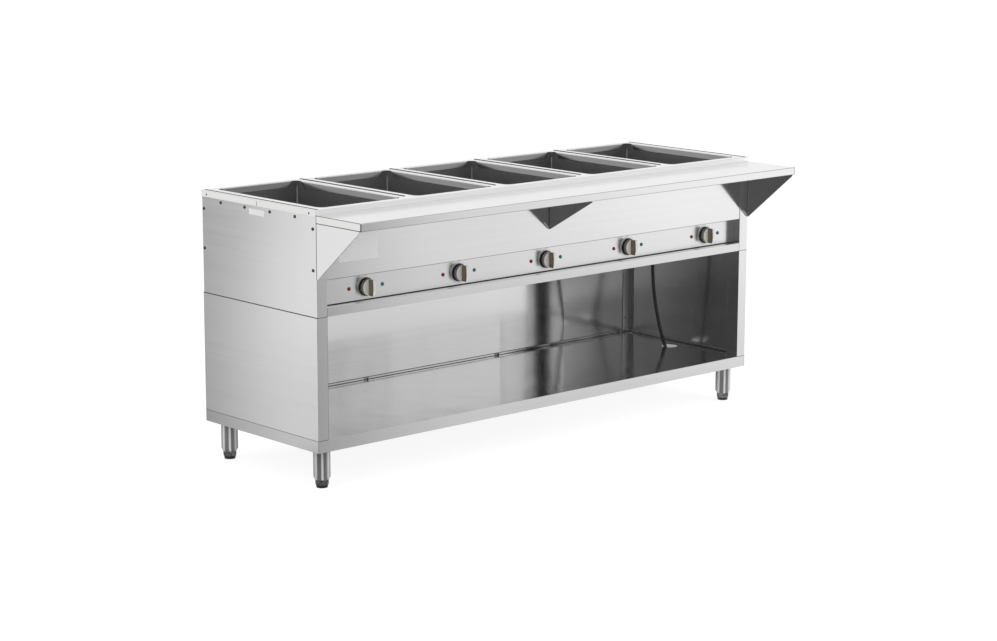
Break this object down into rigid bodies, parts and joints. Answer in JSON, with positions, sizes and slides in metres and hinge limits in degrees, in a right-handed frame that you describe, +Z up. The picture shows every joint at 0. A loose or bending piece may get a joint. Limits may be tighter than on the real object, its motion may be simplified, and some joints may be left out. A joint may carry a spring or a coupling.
{
  "type": "electric steam table",
  "caption": "Floor-standing electric steam table: a row of open wells, each with a dial and pilot lamps, a front serving shelf on gussets and an open cabinet base on tubular legs.",
  "frame": {"origin": "on the floor under the middle of the table, the serving shelf included", "axes": "+Z up, +X to the right as a person at the dials sees it, +Y from the serving shelf towards the back; the serving shelf and the dials face -Y"},
  "size_m": [1.829, 0.762, 0.832],
  "materials": {
    "panel_steel": "brushed stainless sheet",
    "leg_tube": "polished stainless tube",
    "foot": "moulded bullet foot",
    "insulation": "mineral wool blanket",
    "saddle_steel": "strip",
    "liner_steel": "satin stainless pan",
    "element_sheath": "oxidised alloy sheath",
    "dial": "spun metal dial with a black skirt",
    "shaft_steel": "turned",
    "control_case": "moulded case",
    "dial_plate": "printed metal disc",
    "red_lens": "clear tinted lens",
    "green_lens": "clear tinted lens",
    "gland": "moulded",
    "terminal": "moulded",
    "cord_jacket": "smooth jacket",
    "plug": "moulded"
  },
  "bodies": {
    "table": {"undershelf": "panel_steel", "shelf_stiffeners": "panel_steel", "cabinet_side_left": "panel_steel", "cabinet_side_right": "panel_steel", "cabinet_back": "panel_steel", "corner_angles": "panel_steel", "leg_sockets": "panel_steel", "upper_side_left": "panel_steel", "upper_side_right": "panel_steel", "lower_rail": "panel_steel", "control_panel": "panel_steel", "fascia": "panel_steel", "upper_back": "panel_steel", "belly_pan": "panel_steel", "deck_top": "panel_steel", "serving_shelf": "panel_steel", "bracket_left": "panel_steel", "bracket_right": "panel_steel", "bracket_middle": "panel_steel", "leg_front_left": "leg_tube", "leg_front_right": "leg_tube", "leg_back_left": "leg_tube", "leg_back_right": "leg_tube", "well_insulation": "insulation", "element_saddles": "saddle_steel", "well_liner_1": "liner_steel", "heating_element_1": "element_sheath", "well_liner_2": "liner_steel", "heating_element_2": "element_sheath", "well_liner_3": "liner_steel", "heating_element_3": "element_sheath", "well_liner_4": "liner_steel", "heating_element_4": "element_sheath", "well_liner_5": "liner_steel", "heating_element_5": "element_sheath", "heat_controls": "control_case", "dial_plates": "dial_plate", "red_lamps": "red_lens", "green_lamps": "green_lens", "cable_gland": "gland", "terminal_block": "terminal", "power_cord": "cord_jacket", "cord_coil": "cord_jacket", "power_plug": "plug"},
    "dial_1": {"knob_1": "dial", "control_shaft_1": "shaft_steel"},
    "dial_2": {"knob_2": "dial", "control_shaft_2": "shaft_steel"},
    "dial_3": {"knob_3": "dial", "control_shaft_3": "shaft_steel"},
    "dial_4": {"knob_4": "dial", "control_shaft_4": "shaft_steel"},
    "dial_5": {"knob_5": "dial", "control_shaft_5": "shaft_steel"},
    "levelling_foot_front_left": {"foot_front_left": "foot"},
    "levelling_foot_front_right": {"foot_front_right": "foot"},
    "levelling_foot_back_left": {"foot_back_left": "foot"},
    "levelling_foot_back_right": {"foot_back_right": "foot"}
  },
  "joints": [
    {"name": "dial_1_turn", "type": "hinge", "parent": "table", "child": "dial_1", "pos_m": [-0.709, -0.147, 0.5825], "axis": [0, 1, 0], "range_deg": [0, 300]},
    {"name": "dial_2_turn", "type": "hinge", "parent": "table", "child": "dial_2", "pos_m": [-0.347, -0.147, 0.5825], "axis": [0, 1, 0], "range_deg": [0, 300]},
    {"name": "dial_3_turn", "type": "hinge", "parent": "table", "child": "dial_3", "pos_m": [0.015, -0.147, 0.5825], "axis": [0, 1, 0], "range_deg": [0, 300]},
    {"name": "dial_4_turn", "type": "hinge", "parent": "table", "child": "dial_4", "pos_m": [0.377, -0.147, 0.5825], "axis": [0, 1, 0], "range_deg": [0, 300]},
    {"name": "dial_5_turn", "type": "hinge", "parent": "table", "child": "dial_5", "pos_m": [0.739, -0.147, 0.5825], "axis": [0, 1, 0], "range_deg": [0, 300]},
    {"name": "foot_front_left_level", "type": "slide", "parent": "table", "child": "levelling_foot_front_left", "axis": [0, 0, -1], "range_m": [0, 0.025]},
    {"name": "foot_front_right_level", "type": "slide", "parent": "table", "child": "levelling_foot_front_right", "axis": [0, 0, -1], "range_m": [0, 0.025]},
    {"name": "foot_back_left_level", "type": "slide", "parent": "table", "child": "levelling_foot_back_left", "axis": [0, 0, -1], "range_m": [0, 0.025]},
    {"name": "foot_back_right_level", "type": "slide", "parent": "table", "child": "levelling_foot_back_right", "axis": [0, 0, -1], "range_m": [0, 0.025]}
  ]
}
